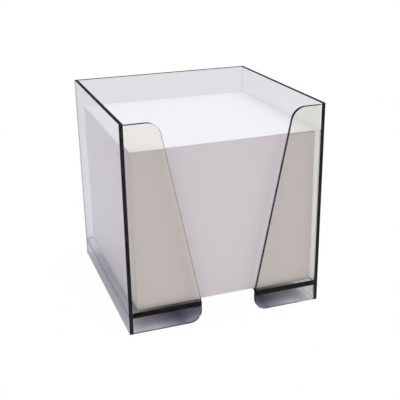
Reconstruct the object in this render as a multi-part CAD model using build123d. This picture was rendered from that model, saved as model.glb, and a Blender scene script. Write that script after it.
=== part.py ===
from build123d import *
import math
import os

# Memo holder: a square box of smoked acrylic sheet, open at the top and down the middle of its front,
# with a stack of loose note sheets standing on a raised floor. Millimetres, +Z up, the front faces -Y.
# The origin is at the centre of the square that the box stands on.

# Note paper
paper_side = 90.0
paper_thickness = 0.1
sheet_count = 775
loose_sheet_names = ["third_sheet", "second_sheet", "top_sheet"]

# Room that the box leaves for the paper
paper_play = 2.2
paper_offset_share = 0.5
rim_above_paper = 14.0

# Acrylic panels: the throat is the gap between the two front leaves at and below the floor, and the offset
# how far it is off the middle. The drop is how far the leaves end below the rim. The finger hole is a round
# hole in the floor, open to the front at the throat, and its depth is how far behind the leaves its centre is
wall_thickness = 1.8
floor_thickness = 2.8
floor_lift = 7.7
throat_width = 28.0
throat_offset = 1.0
leaf_top_width = 14.8
leaf_drop = 0.8
leaf_lip_radius = 7.0
leaf_foot_radius = 6.0
finger_hole_depth = 8.5

# Sizes that follow from the ones above
stack_height = sheet_count * paper_thickness
block_height = stack_height - len(loose_sheet_names) * paper_thickness
inner_side = paper_side + 2 * paper_play
box_side = inner_side + 2 * wall_thickness
floor_top = floor_lift + floor_thickness
box_height = floor_top + stack_height + rim_above_paper
leaf_height = box_height - leaf_drop
paper_offset = paper_play * paper_offset_share
finger_hole_radius = math.hypot(throat_width / 2, finger_hole_depth)


def corner_at(face, x, y):
    """The corner of a flat outline that lies at x, y of its own plane."""
    return face.vertices().sort_by_distance((x, y, 0))[0]


def side_panel(side):
    """A full side wall. Its cut edges show at the front, at the back and on top. side is -1 left, 1 right."""
    centre_x = side * (inner_side + wall_thickness) / 2
    wall = Box(wall_thickness, box_side, box_height)
    return Pos(centre_x, 0, box_height / 2) * wall


def back_panel():
    """The back wall, set between the side walls."""
    centre_y = (inner_side + wall_thickness) / 2
    wall = Box(inner_side, wall_thickness, box_height)
    return Pos(0, centre_y, box_height / 2) * wall


def front_leaf(side):
    """One of the two front walls: its free edge leans away from the middle above the floor, stands upright
    below it, and is rounded at the lip and at the foot. side is -1 left, 1 right."""
    wall_x = side * inner_side / 2
    throat_x = throat_offset + side * throat_width / 2
    lip_x = throat_offset + wall_x - side * leaf_top_width
    outline = make_face(
        Polyline(
            (wall_x, 0),
            (throat_x, 0),
            (throat_x, floor_top),
            (lip_x, leaf_height),
            (wall_x, leaf_height),
            close=True,
        )
    )
    outline = fillet(corner_at(outline, throat_x, 0), leaf_foot_radius)
    outline = fillet(corner_at(outline, lip_x, leaf_height), leaf_lip_radius)
    inner_face = Plane.XZ.offset(inner_side / 2)
    return extrude(inner_face * outline, amount=wall_thickness)


def floor_panel():
    """The raised floor between the four walls. Its round finger hole meets the leaves at the edges of the
    throat and widens behind them, so that a finger can lift the stack."""
    plate = Rectangle(inner_side, inner_side)
    hole = Pos(throat_offset, finger_hole_depth - inner_side / 2) * Circle(finger_hole_radius)
    return extrude(Pos(0, 0, floor_lift) * (plate - hole), amount=floor_thickness)


def paper(bottom, height):
    """Paper of the given height, its underside at bottom, pushed towards the right wall."""
    return Pos(paper_offset, 0, bottom + height / 2) * Box(paper_side, paper_side, height)


parts = {
    "left_side_panel": side_panel(-1),
    "right_side_panel": side_panel(1),
    "back_panel": back_panel(),
    "front_left_leaf": front_leaf(-1),
    "front_right_leaf": front_leaf(1),
    "floor_panel": floor_panel(),
    "paper_block": paper(floor_top, block_height),
}
for place, name in enumerate(loose_sheet_names):
    parts[name] = paper(floor_top + block_height + place * paper_thickness, paper_thickness)

os.makedirs("parts", exist_ok=True)
for name, shape in parts.items():
    export_step(shape, f"parts/{name}.step")
print(f"box {box_side:.1f} x {box_side:.1f} x {box_height:.1f}, stack {stack_height:.1f} high")
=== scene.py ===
import bpy
import numpy as np
from mathutils import Matrix, Vector


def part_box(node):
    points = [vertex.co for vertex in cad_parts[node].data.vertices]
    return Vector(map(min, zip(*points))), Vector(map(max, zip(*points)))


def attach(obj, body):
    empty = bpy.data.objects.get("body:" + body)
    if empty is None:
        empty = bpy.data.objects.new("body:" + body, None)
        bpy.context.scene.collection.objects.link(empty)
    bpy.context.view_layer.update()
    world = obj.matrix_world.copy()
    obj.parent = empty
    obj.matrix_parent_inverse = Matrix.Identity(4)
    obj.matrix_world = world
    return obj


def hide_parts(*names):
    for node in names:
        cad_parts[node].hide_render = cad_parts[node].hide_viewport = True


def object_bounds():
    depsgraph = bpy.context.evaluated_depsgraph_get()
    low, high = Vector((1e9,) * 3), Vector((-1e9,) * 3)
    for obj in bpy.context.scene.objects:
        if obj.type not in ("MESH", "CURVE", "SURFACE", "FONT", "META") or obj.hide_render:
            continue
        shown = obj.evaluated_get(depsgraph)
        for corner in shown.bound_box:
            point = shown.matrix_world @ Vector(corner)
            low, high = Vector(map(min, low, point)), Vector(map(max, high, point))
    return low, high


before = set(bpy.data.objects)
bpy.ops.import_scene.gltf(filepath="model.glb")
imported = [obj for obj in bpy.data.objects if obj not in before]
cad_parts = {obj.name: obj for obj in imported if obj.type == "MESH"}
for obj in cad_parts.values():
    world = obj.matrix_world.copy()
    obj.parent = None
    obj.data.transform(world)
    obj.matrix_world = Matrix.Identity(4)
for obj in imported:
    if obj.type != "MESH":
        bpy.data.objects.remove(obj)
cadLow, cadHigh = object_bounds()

scene = bpy.context.scene
scene.view_settings.view_transform = "Standard"
longestPath = 40  # light runs a long way inside a clear panel before it leaves at an edge
scene.cycles.max_bounces = longestPath
scene.cycles.transmission_bounces = longestPath
scene.cycles.glossy_bounces = longestPath
millimetre = 0.001


# sRGB hex to the linear colour that the shaders take, by the curve of the sRGB standard
def linearColour(code):
    srgb = np.array([int(code[i:i + 2], 16) for i in (0, 2, 4)]) / 255
    linear = np.where(srgb <= 0.04045, srgb / 12.92, ((srgb + 0.055) / 1.055) ** 2.4)
    return (*linear.tolist(), 1.0)


# adds a node, sets its own settings and its input values, and links the sockets it is given
def addNode(tree, kind, values=None, links=None, **settings):
    node = tree.nodes.new(kind)
    for name, value in settings.items():
        setattr(node, name, value)
    for key, value in (values or {}).items():
        node.inputs[key].default_value = value
    for key, socket in (links or {}).items():
        tree.links.new(socket, node.inputs[key])
    return node


# gives an input a socket to follow, or else a value of its own
def feed(tree, socket, value):
    if isinstance(value, bpy.types.NodeSocket):
        tree.links.new(value, socket)
    else:
        socket.default_value = value


# adds a calculation with one to three inputs, each a socket or a number, and gives its output
def addMath(tree, operation, *inputs):
    node = addNode(tree, "ShaderNodeMath", operation=operation)
    for socket, value in zip(node.inputs, inputs):
        feed(tree, socket, value)
    return node.outputs[0]


# a Mix node has sockets for numbers, vectors and colours: these are the share and the two colours, and
# the colour that comes out
colourMixInputs = (0, 6, 7)
colourMixOutput = 2


# adds a mix of two colours, each a socket or a colour, and gives its output
def addColourMix(tree, share, first, second):
    node = addNode(tree, "ShaderNodeMix", data_type="RGBA")
    for place, value in zip(colourMixInputs, (share, first, second)):
        feed(tree, node.inputs[place], value)
    return node.outputs[colourMixOutput]


# adds a mix of two shaders and gives its output
def addShaderMix(tree, share, first, second):
    return addNode(tree, "ShaderNodeMixShader", links={0: share, 1: first, 2: second}).outputs[0]


# gives the place on the object, in metres
def addPlace(tree):
    return addNode(tree, "ShaderNodeTexCoord").outputs["Object"]


# adds noise with patches of the given size and gives its output
def addNoise(tree, place, size, detail):
    values = {"Scale": 1 / size, "Detail": detail}
    return addNode(tree, "ShaderNodeTexNoise", values, {"Vector": place}).outputs[0]


# adds bumps of the given height and gives the normal that they tilt
def addBump(tree, height, pattern):
    values = {"Strength": 1.0, "Distance": height}
    return addNode(tree, "ShaderNodeBump", values, {"Height": pattern}).outputs[0]


def emptyMaterial(name):
    material = bpy.data.materials.new(name)
    material.use_nodes = True
    material.node_tree.nodes.clear()
    return material, material.node_tree


def showSurface(tree, surface):
    addNode(tree, "ShaderNodeOutputMaterial", links={"Surface": surface})


# puts finished points and faces into a new piece, which moves with a body and stands for a CAD node
def addPiece(name, points, faces, material, body, node):
    mesh = bpy.data.meshes.new(name)
    mesh.from_pydata(points.reshape(-1, 3).tolist(), [], faces)
    mesh.validate()
    mesh.materials.append(material)
    piece = bpy.data.objects.new(name, mesh)
    scene.collection.objects.link(piece)
    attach(piece, body)
    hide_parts(node)
    return piece


# Smoked acrylic: clear cast PMMA sheet with a warm grey dye. It bends light as PMMA does. A face is
# pale, because light crosses the sheet's thickness, and finger smudges dull its gloss here and there;
# the cast faces are wavy by a few hundredths of a millimetre. A cut edge is polished and nearly black,
# because what enters it runs on inside the sheet as far as another edge.
acrylicLook = {
    "indexOfRefraction": 1.49,
    "faceTint": "f9f6ed",  # what a panel lets through
    "edgeTint": "2a2a2a",  # what comes from edge to edge
    "jointTint": "080808",  # the same through the floor, whose edges are glued to the walls
    "lampTint": "fafafa",  # what each face leaves of the light on the paper
    "mirrorTint": "898989",  # takes some of the mirror image off where a face is seen straight on
    "jointMirror": "000000",  # a glued edge mirrors nothing
    "smudgeSize": 11.0 * millimetre,
    "smudgeDetail": 5.0,
    "smudgeRange": (0.55, 0.8),  # only the highest patches of the noise are smudges
    "smudgeRoughness": 0.03,
    "waveLength": 38.0 * millimetre,
    "waveDetail": 0.0,  # a smooth swell
    "waveHeight": 0.02 * millimetre,
}


# tint and mirror are names of two of the colours above
def addAcrylicSurface(tree, tint, mirror):
    place = addPlace(tree)
    smudge = addNoise(tree, place, acrylicLook["smudgeSize"], acrylicLook["smudgeDetail"])
    roughness = addNode(tree, "ShaderNodeMapRange", {
        "From Min": acrylicLook["smudgeRange"][0],
        "From Max": acrylicLook["smudgeRange"][1],
        "To Max": acrylicLook["smudgeRoughness"],
    }, {"Value": smudge})
    wave = addNoise(tree, place, acrylicLook["waveLength"], acrylicLook["waveDetail"])
    wavy = addBump(tree, acrylicLook["waveHeight"], wave)
    surface = addNode(tree, "ShaderNodeBsdfPrincipled", {
        "Base Color": linearColour(acrylicLook[tint]),
        "Transmission Weight": 1.0,
        "IOR": acrylicLook["indexOfRefraction"],
        "Specular Tint": linearColour(acrylicLook[mirror]),
    }, {"Roughness": roughness.outputs[0], "Normal": wavy})
    return surface.outputs[0]


# a panel's flat face: light on its way to the paper goes straight through
def makeAcrylicFace():
    material, tree = emptyMaterial("smokedAcrylicFace")
    surface = addAcrylicSurface(tree, "faceTint", "mirrorTint")
    path = addNode(tree, "ShaderNodeLightPath")
    light = addMath(tree, "MAXIMUM", path.outputs["Is Shadow Ray"], path.outputs["Is Diffuse Ray"])
    clear = addNode(tree, "ShaderNodeBsdfTransparent", {
        "Color": linearColour(acrylicLook["lampTint"]),
    })
    showSurface(tree, addShaderMix(tree, light, surface, clear.outputs[0]))
    return material


# a panel's edge: light on its way to the paper is stopped here
def makeAcrylicEdge(name, tint, mirror):
    material, tree = emptyMaterial(name)
    showSurface(tree, addAcrylicSurface(tree, tint, mirror))
    return material


# White uncoated note paper: matt, faintly mottled and rough with fibres, each cut edge a little lighter
# or darker than the next
paperLook = {
    "white": "f5f5f8",
    "mottleSize": 1.5 * millimetre,
    "mottleDetail": 4.0,
    "mottle": 0.03,  # share of its brightness that the darkest patch lacks
    "fibreSize": 0.25 * millimetre,
    "fibreDetail": 3.0,
    "fibreHeight": 0.01 * millimetre,
    "roughness": 0.9,
    "glossLevel": 0.25,
    "toneName": "sheetTone",
}


def makePaper():
    material, tree = emptyMaterial("uncoatedNotePaper")
    place = addPlace(tree)
    mottle = addNoise(tree, place, paperLook["mottleSize"], paperLook["mottleDetail"])
    shade = addNode(tree, "ShaderNodeMapRange", {
        "To Min": 1 - paperLook["mottle"],
        "To Max": 1.0,
    }, {"Value": mottle})
    tone = addNode(tree, "ShaderNodeAttribute", attribute_name=paperLook["toneName"])
    toned = addMath(tree, "MULTIPLY", shade.outputs[0], tone.outputs["Fac"])
    white = addNode(tree, "ShaderNodeVectorMath", {0: linearColour(paperLook["white"])[:3]}, {
        "Scale": toned,
    }, operation="SCALE")
    fibre = addNoise(tree, place, paperLook["fibreSize"], paperLook["fibreDetail"])
    fibrous = addBump(tree, paperLook["fibreHeight"], fibre)
    surface = addNode(tree, "ShaderNodeBsdfPrincipled", {
        "Roughness": paperLook["roughness"],
        "Specular IOR Level": paperLook["glossLevel"],
    }, {"Base Color": white.outputs[0], "Normal": fibrous})
    showSurface(tree, surface.outputs[0])
    return material


acrylicFace = makeAcrylicFace()
acrylicCutEdge = makeAcrylicEdge("smokedAcrylicCutEdge", "edgeTint", "mirrorTint")
acrylicGluedEdge = makeAcrylicEdge("smokedAcrylicGluedEdge", "jointTint", "jointMirror")
paper = makePaper()
print("materials made")


# how far each corner of a closed anticlockwise outline slides for every unit that its edges move
# inwards: the sum of the two edge normals over one plus their product
def inwardSlide(outline):
    ahead = np.roll(outline, -1, axis=0) - outline
    ahead = ahead / np.linalg.norm(ahead, axis=1, keepdims=True)
    after = np.stack([-ahead[:, 1], ahead[:, 0]], axis=1)
    before = np.roll(after, 1, axis=0)
    return (before + after) / (1 + (before * after).sum(axis=1, keepdims=True))


# an arc that rounds a corner: its ends are tangent to the lines to the points before and after
def roundedCorner(before, corner, after, radius, steps):
    before, corner, after = (np.array(p, float) for p in (before, corner, after))
    toBefore = (before - corner) / np.linalg.norm(before - corner)
    toAfter = (after - corner) / np.linalg.norm(after - corner)
    half = np.arccos(np.clip(toBefore @ toAfter, -1, 1)) / 2
    middle = toBefore + toAfter
    centre = corner + middle / np.linalg.norm(middle) * radius / np.sin(half)
    start = corner + toBefore * radius / np.tan(half) - centre
    turn = np.pi - 2 * half
    turn = turn if toBefore[0] * toAfter[1] - toBefore[1] * toAfter[0] < 0 else -turn
    angle = np.linspace(0, turn, steps + 1)[:, None]
    side = np.array([-start[1], start[0]])
    return centre + np.cos(angle) * start + np.sin(angle) * side


panelShape = {
    "edgeRadius": 0.08 * millimetre,  # the broken edge along every free edge
    "edgeSteps": 3,
    "glueLine": 0.02 * millimetre,  # left open where two panels meet
    "leafLean": 18.4 * millimetre,  # how much further out a leaf's lip stands than its foot
    "lipRadius": 7.0 * millimetre,
    "footRadius": 6.0 * millimetre,
    "cornerSteps": 32,
    "holeDepth": 8.5 * millimetre,  # how far behind the leaves the centre of the finger hole is
    "holePoints": 96,
}


# a flat panel: its outline carried along a profile that starts a broken edge inside it, steps out round
# a quarter circle, runs across the thickness and steps in again; the two flat faces close it. broken
# says for each corner how much of the broken edge it takes each way, because glued edges stay square
def panelSurface(outline, broken, across, wideAxis, upAxis, thickAxis):
    radius, steps = panelShape["edgeRadius"], panelShape["edgeSteps"]
    angle = np.linspace(0, np.pi / 2, steps + 1)
    rise = radius * (1 - np.cos(angle))
    step = radius * (1 - np.sin(angle))
    insets = np.concatenate([step, step[::-1]])
    heights = np.concatenate([across[0] + rise, across[1] - rise[::-1]])
    flat = outline[None] + insets[:, None, None] * (inwardSlide(outline) * broken)[None]
    points = flat @ np.array([wideAxis, upAxis]) + heights[:, None, None] * thickAxis
    rings, count = points.shape[:2]
    ring, place = np.meshgrid(np.arange(rings - 1), np.arange(count), indexing="ij")
    following = (place + 1) % count
    quads = np.stack([
        ring * count + place,
        ring * count + following,
        (ring + 1) * count + following,
        (ring + 1) * count + place,
    ], axis=-1).reshape(-1, 4).tolist()
    bottom = list(range(count))[::-1]
    top = list(range((rings - 1) * count, rings * count))
    return points, quads + [bottom, top]


def rectangle(lowU, highU, lowV, highV):
    return np.array([(lowU, lowV), (highU, lowV), (highU, highV), (lowU, highV)])


alongX, alongY, alongZ = np.eye(3)


def addPanel(node, outline, broken, across, wideAxis, upAxis, thickAxis, edge=acrylicCutEdge):
    points, faces = panelSurface(outline, broken, across, wideAxis, upAxis, thickAxis)
    piece = addPiece(node + "Acrylic", points, faces, acrylicFace, "holder", node)
    piece.data.materials.append(edge)
    # the two flat faces come last and take the first material, all faces before them the second
    slots = np.repeat([1, 0], [len(faces) - 2, 2]).astype(np.int32)
    piece.data.polygons.foreach_set("material_index", slots)


def addWalls():
    glue = panelShape["glueLine"]
    allRound = np.ones((4, 2))
    for node in ("left_side_panel", "right_side_panel"):
        low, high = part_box(node)
        outline = rectangle(low.y, high.y, low.z, high.z)
        addPanel(node, outline, allRound, (low.x, high.x), alongY, alongZ, alongX)
    low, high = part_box("back_panel")
    outline = rectangle(low.x + glue, high.x - glue, low.z, high.z)
    addPanel("back_panel", outline, allRound * (0, 1), (-high.y, -low.y), alongX, alongZ, -alongY)


# both leaves are drawn as the one on the right, outwards from the middle, and the left one is mirrored
def addLeaves():
    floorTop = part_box("floor_panel")[1].z
    steps = panelShape["cornerSteps"]
    for node, side in (("front_left_leaf", -1), ("front_right_leaf", 1)):
        low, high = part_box(node)
        throatX, wallX = sorted((side * low.x, side * high.x))
        wallX -= panelShape["glueLine"]
        foot, bend = (throatX, low.z), (throatX, floorTop)
        base, corner = (wallX, low.z), (wallX, high.z)
        lip = (throatX + panelShape["leafLean"], high.z)
        footArc = roundedCorner(bend, foot, base, panelShape["footRadius"], steps)
        lipArc = roundedCorner(corner, lip, bend, panelShape["lipRadius"], steps)
        outline = np.concatenate([footArc, [base, corner], lipArc, [bend]])
        broken = np.ones_like(outline)
        broken[outline[:, 0] == wallX] = 0, 1
        if side < 0:
            outline, broken = (outline * (-1, 1))[::-1], broken[::-1]
        addPanel(node, outline, broken, (-high.y, -low.y), alongX, alongZ, -alongY)


# the floor: its finger hole is an arc about a centre behind the leaves, from one edge of their gap to
# the other
def addFloorPanel():
    glue, depth = panelShape["glueLine"], panelShape["holeDepth"]
    low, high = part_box("floor_panel")
    left, right, front, back = low.x + glue, high.x - glue, low.y + glue, high.y - glue
    gapLeft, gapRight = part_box("front_left_leaf")[1].x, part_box("front_right_leaf")[0].x
    middle, half = (gapLeft + gapRight) / 2, (gapRight - gapLeft) / 2
    radius = np.hypot(half, depth)
    over = np.arcsin((depth - glue) / radius)
    angle = np.linspace(np.pi + over, -over, panelShape["holePoints"])
    arc = np.stack([np.cos(angle), np.sin(angle)], axis=1) * radius + (middle, low.y + depth)
    outline = np.concatenate([[(left, front)], arc, [(right, front), (right, back), (left, back)]])
    broken = np.zeros_like(outline)
    broken[2:len(arc)] = 1  # not the pointed corners, which stay on the leaves
    across = (low.z, high.z)
    addPanel("floor_panel", outline, broken, across, alongX, alongY, alongZ, acrylicGluedEdge)


addWalls()
addLeaves()
addFloorPanel()
print("panels made")

noteStack = {
    "sheetThickness": 0.1 * millimetre,
    "air": 0.004 * millimetre,  # between one sheet and the next
    "slip": 0.01 * millimetre,  # how far single sheets lie off the stack
    "slipLimit": 3,  # no sheet lies off by more than this many slips
    "drift": 0.12 * millimetre,  # how far the stack leans and bows
    "driftWaves": (2, 3),  # half waves up the stack, across and in depth
    "toneSpread": 0.015,
    "curl": 0.08 * millimetre,  # how much higher two corners of a loose sheet stand than on the one below
    "gridSteps": 24,
    "seed": 7,
}
rng = np.random.default_rng(noteStack["seed"])


# gives every point of a piece the tone of its sheet, which the paper's material reads
def setTone(piece, tones):
    layer = piece.data.attributes.new(paperLook["toneName"], "FLOAT", "POINT")
    layer.data.foreach_set("value", np.asarray(tones, np.float32))


# the block: every sheet is a flat box, its corners those of the stack plus the sheet's own slip and the
# stack's drift, a slow wave up the stack that is zero at its top and bottom
def addPaperBlock():
    low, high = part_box("paper_block")
    thickness, air = noteStack["sheetThickness"], noteStack["air"]
    count = round((high.z - low.z) / thickness)
    most = noteStack["slipLimit"] * noteStack["slip"]
    slip = rng.normal(0, noteStack["slip"], (count, 2)).clip(-most, most)
    way = np.linspace(0, 1, count)
    waves = [np.sin(halves * np.pi * way) for halves in noteStack["driftWaves"]]
    drift = noteStack["drift"] * np.stack(waves, axis=1)
    bottom = low.z + np.arange(count) * thickness + air
    top = bottom + thickness - air
    corners = rectangle(low.x, high.x, low.y, high.y)
    flat = np.tile(corners, (2, 1))[None] + (slip + drift)[:, None]
    heights = np.repeat(np.stack([bottom, top], axis=1), len(corners), axis=1)
    points = np.concatenate([flat, heights[..., None]], axis=2)
    perSheet = points.shape[1]
    under, upper = (3, 2, 1, 0), (4, 5, 6, 7)
    sides = [(0, 1, 5, 4), (1, 2, 6, 5), (2, 3, 7, 6), (3, 0, 4, 7)]
    shell = np.array([under, upper, *sides])
    faces = (np.arange(count)[:, None, None] * perSheet + shell[None]).reshape(-1, 4).tolist()
    node, body, slot = "paper_block", "paper_stack", "note_paper"
    block = addPiece("paperBlockSheets", points, faces, paper, body, node)
    setTone(block, np.repeat(1 - noteStack["toneSpread"] * rng.random(count), perSheet))
    return count


# a loose sheet: two grids a sheet's thickness apart, closed round their rim, both raised by the curl
# times the square of the way out along one diagonal
def sheetSurface(low, high, curl):
    steps = noteStack["gridSteps"]
    share = np.linspace(0, 1, steps + 1)
    acrossX, alongDepth = np.meshgrid(share, share, indexing="ij")
    rise = curl * (acrossX - alongDepth) ** 2
    x, y = low.x + acrossX * (high.x - low.x), low.y + alongDepth * (high.y - low.y)
    under = np.stack([x, y, low.z + noteStack["air"] + rise], axis=-1)
    upper = np.stack([x, y, high.z + rise], axis=-1)
    index = np.arange((steps + 1) ** 2).reshape(steps + 1, steps + 1)
    quads = np.stack([
        index[:-1, :-1],
        index[1:, :-1],
        index[1:, 1:],
        index[:-1, 1:],
    ], axis=-1).reshape(-1, 4)
    rim = np.concatenate([index[:-1, 0], index[-1, :-1], index[:0:-1, -1], index[0, :0:-1]])
    ahead = np.roll(rim, -1)
    sides = np.stack([rim, ahead, ahead + index.size, rim + index.size], axis=-1)
    faces = np.concatenate([quads[:, ::-1], quads + index.size, sides]).tolist()
    return np.stack([under, upper]), faces


def addLooseSheets():
    bodies = {"third_sheet": "sheet_three", "second_sheet": "sheet_two", "top_sheet": "sheet_one"}
    for place, (node, body) in enumerate(bodies.items()):
        points, faces = sheetSurface(*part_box(node), noteStack["curl"] * (place + 1))
        sheet = addPiece(node + "Paper", points, faces, paper, body, node)
        tone = 1 - noteStack["toneSpread"] * rng.random()
        setTone(sheet, np.full(len(sheet.data.vertices), tone))


print("sheets in the block:", addPaperBlock())
addLooseSheets()
print("loose sheets made")

# the surroundings: a white table, a pale sky and one soft lamp overhead. What the acrylic mirrors is
# a painted reflection, painted dark on the table and the sky, and what is seen through it is a cool white
studio = {
    "tableSize": 6.0,
    "tableDrop": 0.05 * millimetre,
    "tableWhite": "f8eeee",
    "plainWhite": "ffffff",  # what the camera itself sees of the table and the sky
    "whiteShare": 0.98,  # share of the table that shows as plain white, the rest keeps the shadow
    "seenThrough": "e1e6f1",
    # painted shade on the table under the box, by the way out from the middle to a side: painted dark
    # between the opening and the walls
    "paintedShadeUnder": {0.3: "bac2dc", 0.45: "8a8fb2", 0.72: "e0e4f6", 0.9: "d4d6ea", 1.0: "f0f0ff"},
    # painted reflection: the colours the acrylic mirrors of the table in front of the box and beside it,
    # and of the sky
    "paintedMirrorFront": "383838",
    "paintedMirrorBeside": "d4d4e4",
    "frontReach": 1.5,  # half depths of the box from its middle to where paintedMirrorFront is reached
    "paintedMirrorSky": "5c5c5c",
    "skyColour": "fbf8fa",
    "skyStrength": 0.79,
    "skyStart": 0.1,  # heights on a unit dome at which the sky starts and at which it is at its full
    "skyFull": 0.7,
    "lampColour": "fafdff",
    "lampStrength": 1.37,
    "lampAngle": 50.0,
    "lampFrom": (0.15, -0.1, 1.0),
}


def studioColour(name):
    return linearColour(studio[name])


# the painted shade under the box as a ramp over the way out from its middle
def addPaintedShadeUnder(tree, wayOut):
    shade = addNode(tree, "ShaderNodeValToRGB", links={0: wayOut})
    stops = shade.color_ramp.elements
    for out in list(studio["paintedShadeUnder"])[1:-1]:
        stops.new(out)
    for stop, (out, colour) in zip(stops, studio["paintedShadeUnder"].items()):
        stop.position = out
        stop.color = linearColour(colour)
    return shade.outputs[0]


# Matt white table: plain white to the camera with a trace of shadow. The acrylic mirrors it as a painted
# reflection, dark in front of the box and pale beside it, and through the acrylic it is a cool white with
# painted shade under the box
def makeTableWhite():
    material, tree = emptyMaterial("mattWhiteTable")
    path = addNode(tree, "ShaderNodeLightPath")
    split = addNode(tree, "ShaderNodeSeparateXYZ", links={0: addPlace(tree)})
    x, y = split.outputs[:2]
    behind = addNode(tree, "ShaderNodeMapRange", {
        "From Min": studio["frontReach"] * cadLow.y,
        "From Max": cadLow.y,
    }, {"Value": y})
    front, beside = studioColour("paintedMirrorFront"), studioColour("paintedMirrorBeside")
    around = addColourMix(tree, behind.outputs[0], front, beside)
    mirrored = addColourMix(tree, path.outputs["Is Glossy Ray"], studioColour("tableWhite"), around)
    aside, along = (addMath(tree, "ABSOLUTE", way) for way in (x, y))
    # painted shade under the box, shown only where the table is seen through the acrylic
    shade = addPaintedShadeUnder(tree, addMath(tree, "DIVIDE", aside, cadHigh.x))
    under = addMath(tree, "LESS_THAN", addMath(tree, "MAXIMUM", aside, along), cadHigh.x)
    through = addColourMix(tree, under, studioColour("seenThrough"), shade)
    colour = addColourMix(tree, path.outputs["Is Transmission Ray"], mirrored, through)
    matt = addNode(tree, "ShaderNodeBsdfDiffuse", links={"Color": colour})
    glow = addNode(tree, "ShaderNodeEmission", {"Color": studioColour("plainWhite"), "Strength": 1.0})
    share = addMath(tree, "MULTIPLY", path.outputs["Is Camera Ray"], studio["whiteShare"])
    showSurface(tree, addShaderMix(tree, share, matt.outputs[0], glow.outputs[0]))
    return material


def addTable():
    half = studio["tableSize"] / 2
    corners = rectangle(-half, half, -half, half)
    height = np.full((len(corners), 1), cadLow.z - studio["tableDrop"])
    mesh = bpy.data.meshes.new("whiteTable")
    mesh.from_pydata(np.concatenate([corners, height], axis=1).tolist(), [], [(0, 1, 2, 3)])
    table = bpy.data.objects.new("whiteTable", mesh)
    scene.collection.objects.link(table)
    mesh.materials.append(makeTableWhite())


# the sky lights the paper by its own colour, and shows another to what mirrors it, a dim painted
# reflection, to what it is seen through and to the camera
def addSky():
    world = bpy.data.worlds.new("paleSky")
    world.use_nodes = True
    tree = world.node_tree
    tree.nodes.clear()
    path = addNode(tree, "ShaderNodeLightPath")
    place = addNode(tree, "ShaderNodeTexCoord")
    split = addNode(tree, "ShaderNodeSeparateXYZ", links={0: place.outputs["Generated"]})
    strength = addNode(tree, "ShaderNodeMapRange", {
        "From Min": studio["skyStart"],
        "From Max": studio["skyFull"],
        "To Max": studio["skyStrength"],
    }, {"Value": split.outputs[2]})
    light = addNode(tree, "ShaderNodeBackground", {"Color": studioColour("skyColour")}, {
        "Strength": strength.outputs[0],
    })
    shown = light.outputs[0]
    for ray, name in (
        ("Is Glossy Ray", "paintedMirrorSky"),
        ("Is Transmission Ray", "seenThrough"),
        ("Is Camera Ray", "plainWhite"),
    ):
        seen = addNode(tree, "ShaderNodeBackground", {"Color": studioColour(name), "Strength": 1.0})
        shown = addShaderMix(tree, path.outputs[ray], shown, seen.outputs[0])
    addNode(tree, "ShaderNodeOutputWorld", links={"Surface": shown})
    scene.world = world


def addLamp():
    lamp = bpy.data.lights.new("overheadSoftbox", "SUN")
    lamp.color = studioColour("lampColour")[:3]
    lamp.energy = studio["lampStrength"]
    lamp.angle = np.radians(studio["lampAngle"])
    holder = bpy.data.objects.new("overheadSoftbox", lamp)
    scene.collection.objects.link(holder)
    place = Vector(studio["lampFrom"])
    turn = (-place).to_track_quat("-Z", "Y").to_matrix().to_4x4()
    holder.matrix_world = Matrix.Translation(place) @ turn


# the photograph's view: places in metres, angles in degrees, lens for a 36 mm wide sensor
photoView = {
    "place": (-0.1184, -0.3474, 0.1841),
    "azimuth": -19.427,
    "elevation": 20.97,
    "roll": -0.893,
    "lens": 67.16,
    "sensor": 36.0,
    "nearest": 0.01,  # what is nearer to the camera isn't drawn
}


def addCamera():
    azimuth, elevation, roll = np.radians([photoView[k] for k in ("azimuth", "elevation", "roll")])
    level = np.cos(elevation)
    back = np.array([np.sin(azimuth) * level, -np.cos(azimuth) * level, np.sin(elevation)])
    right = np.array([np.cos(azimuth), np.sin(azimuth), 0])
    up = np.cross(back, right)
    right, up = np.cos(roll) * right + np.sin(roll) * up, np.cos(roll) * up - np.sin(roll) * right
    data = bpy.data.cameras.new("photoCamera")
    data.sensor_width = photoView["sensor"]
    data.lens = photoView["lens"]
    data.clip_start = photoView["nearest"]
    camera = bpy.data.objects.new("photoCamera", data)
    scene.collection.objects.link(camera)
    turn = Matrix(np.stack([right, up, back], axis=1).tolist()).to_4x4()
    camera.matrix_world = Matrix.Translation(photoView["place"]) @ turn
    scene.camera = camera


addTable()
addSky()
addLamp()
addCamera()
print("studio made")
